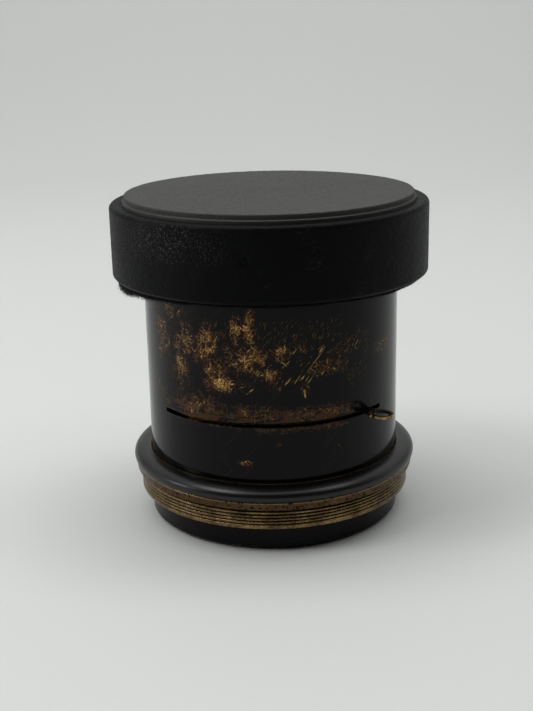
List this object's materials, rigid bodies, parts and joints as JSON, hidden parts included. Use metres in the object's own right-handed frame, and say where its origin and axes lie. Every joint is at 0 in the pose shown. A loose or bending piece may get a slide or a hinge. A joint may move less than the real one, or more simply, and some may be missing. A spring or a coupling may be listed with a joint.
{
  "type": "brass portrait lens",
  "caption": "Brass barrel portrait lens in worn black lacquer, with a threaded mounting collar, a slotted iris lever and a push-on leather-covered cap.",
  "frame": {"origin": "centre of the lens's rear face, which it stands on", "axes": "+Z along the optical axis towards the front of the lens; the iris slot is centred on -Y and the lever rests on its +X side"},
  "size_m": [0.1142, 0.1142, 0.1188],
  "materials": {
    "black_lacquer": "glossy black lacquer over brass, worn through in patches",
    "worn_brass": "tarnished brass with traces of black lacquer",
    "blackened_brass": "matte blackened brass",
    "bare_brass": "turned brass, unlacquered",
    "lever_brass": "black lacquer worn to bright brass along the edge",
    "screw_steel": "blued steel",
    "leaf_steel": "blackened spring steel",
    "optical_glass": "polished",
    "cap_leather": "black pebbled leather",
    "cap_board": "raw pasteboard",
    "cap_velvet": "worn black velvet"
  },
  "bodies": {
    "barrel": {"main_barrel": "black_lacquer", "mount_collar": "worn_brass", "rear_cell": "black_lacquer", "rear_flint": "optical_glass", "rear_spacer": "blackened_brass", "rear_crown": "optical_glass", "rear_retaining_ring": "blackened_brass", "front_hood": "blackened_brass", "front_cell": "blackened_brass", "front_flint": "optical_glass", "front_crown": "optical_glass", "front_retaining_ring": "blackened_brass", "iris_base_ring": "bare_brass", "iris_spacer_ring": "blackened_brass", "iris_cover_ring": "blackened_brass"},
    "iris_ring": {"iris_drive_ring": "bare_brass", "iris_lever": "lever_brass", "lever_screws": "screw_steel"},
    "leaf_01": {"iris_leaf_01": "leaf_steel"},
    "leaf_02": {"iris_leaf_02": "leaf_steel"},
    "leaf_03": {"iris_leaf_03": "leaf_steel"},
    "leaf_04": {"iris_leaf_04": "leaf_steel"},
    "leaf_05": {"iris_leaf_05": "leaf_steel"},
    "leaf_06": {"iris_leaf_06": "leaf_steel"},
    "leaf_07": {"iris_leaf_07": "leaf_steel"},
    "leaf_08": {"iris_leaf_08": "leaf_steel"},
    "leaf_09": {"iris_leaf_09": "leaf_steel"},
    "leaf_10": {"iris_leaf_10": "leaf_steel"},
    "leaf_11": {"iris_leaf_11": "leaf_steel"},
    "leaf_12": {"iris_leaf_12": "leaf_steel"},
    "cap": {"cap_leather_band": "cap_leather", "cap_leather_top": "cap_leather", "cap_top_board": "cap_board", "cap_board_disc": "cap_board", "cap_board_tube": "cap_board", "cap_velvet_lining": "cap_velvet", "cap_velvet_disc": "cap_velvet"}
  },
  "joints": [
    {"name": "iris_ring_turn", "type": "hinge", "parent": "barrel", "child": "iris_ring", "pos_m": [0, 0, 0.0449], "axis": [0, 0, 1], "range_deg": [-91, 0]},
    {"name": "leaf_01_pivot", "type": "hinge", "parent": "barrel", "child": "leaf_01", "pos_m": [-0.00501, 0.03807, 0.03965], "axis": [0, 0, 1], "range_deg": [-44.1, 0]},
    {"name": "leaf_02_pivot", "type": "hinge", "parent": "barrel", "child": "leaf_02", "pos_m": [-0.02338, 0.03046, 0.03965], "axis": [0, 0, 1], "range_deg": [-44.1, 0]},
    {"name": "leaf_03_pivot", "type": "hinge", "parent": "barrel", "child": "leaf_03", "pos_m": [-0.03548, 0.0147, 0.03965], "axis": [0, 0, 1], "range_deg": [-44.1, 0]},
    {"name": "leaf_04_pivot", "type": "hinge", "parent": "barrel", "child": "leaf_04", "pos_m": [-0.03807, -0.00501, 0.03965], "axis": [0, 0, 1], "range_deg": [-44.1, 0]},
    {"name": "leaf_05_pivot", "type": "hinge", "parent": "barrel", "child": "leaf_05", "pos_m": [-0.03046, -0.02338, 0.03965], "axis": [0, 0, 1], "range_deg": [-44.1, 0]},
    {"name": "leaf_06_pivot", "type": "hinge", "parent": "barrel", "child": "leaf_06", "pos_m": [-0.0147, -0.03548, 0.03965], "axis": [0, 0, 1], "range_deg": [-44.1, 0]},
    {"name": "leaf_07_pivot", "type": "hinge", "parent": "barrel", "child": "leaf_07", "pos_m": [0.00501, -0.03807, 0.03965], "axis": [0, 0, 1], "range_deg": [-44.1, 0]},
    {"name": "leaf_08_pivot", "type": "hinge", "parent": "barrel", "child": "leaf_08", "pos_m": [0.02338, -0.03046, 0.03965], "axis": [0, 0, 1], "range_deg": [-44.1, 0]},
    {"name": "leaf_09_pivot", "type": "hinge", "parent": "barrel", "child": "leaf_09", "pos_m": [0.03548, -0.0147, 0.03965], "axis": [0, 0, 1], "range_deg": [-44.1, 0]},
    {"name": "leaf_10_pivot", "type": "hinge", "parent": "barrel", "child": "leaf_10", "pos_m": [0.03807, 0.00501, 0.03965], "axis": [0, 0, 1], "range_deg": [-44.1, 0]},
    {"name": "leaf_11_pivot", "type": "hinge", "parent": "barrel", "child": "leaf_11", "pos_m": [0.03046, 0.02338, 0.03965], "axis": [0, 0, 1], "range_deg": [-44.1, 0]},
    {"name": "leaf_12_pivot", "type": "hinge", "parent": "barrel", "child": "leaf_12", "pos_m": [0.0147, 0.03548, 0.03965], "axis": [0, 0, 1], "range_deg": [-44.1, 0]},
    {"name": "cap_lift", "type": "slide", "parent": "barrel", "child": "cap", "axis": [0, 0, 1], "range_m": [0, 0.06]}
  ],
  "couplings": [
    {"joint": "leaf_01_pivot", "follows": "iris_ring_turn", "ratio": 0.48352},
    {"joint": "leaf_02_pivot", "follows": "iris_ring_turn", "ratio": 0.48352},
    {"joint": "leaf_03_pivot", "follows": "iris_ring_turn", "ratio": 0.48352},
    {"joint": "leaf_04_pivot", "follows": "iris_ring_turn", "ratio": 0.48352},
    {"joint": "leaf_05_pivot", "follows": "iris_ring_turn", "ratio": 0.48352},
    {"joint": "leaf_06_pivot", "follows": "iris_ring_turn", "ratio": 0.48352},
    {"joint": "leaf_07_pivot", "follows": "iris_ring_turn", "ratio": 0.48352},
    {"joint": "leaf_08_pivot", "follows": "iris_ring_turn", "ratio": 0.48352},
    {"joint": "leaf_09_pivot", "follows": "iris_ring_turn", "ratio": 0.48352},
    {"joint": "leaf_10_pivot", "follows": "iris_ring_turn", "ratio": 0.48352},
    {"joint": "leaf_11_pivot", "follows": "iris_ring_turn", "ratio": 0.48352},
    {"joint": "leaf_12_pivot", "follows": "iris_ring_turn", "ratio": 0.48352}
  ]
}
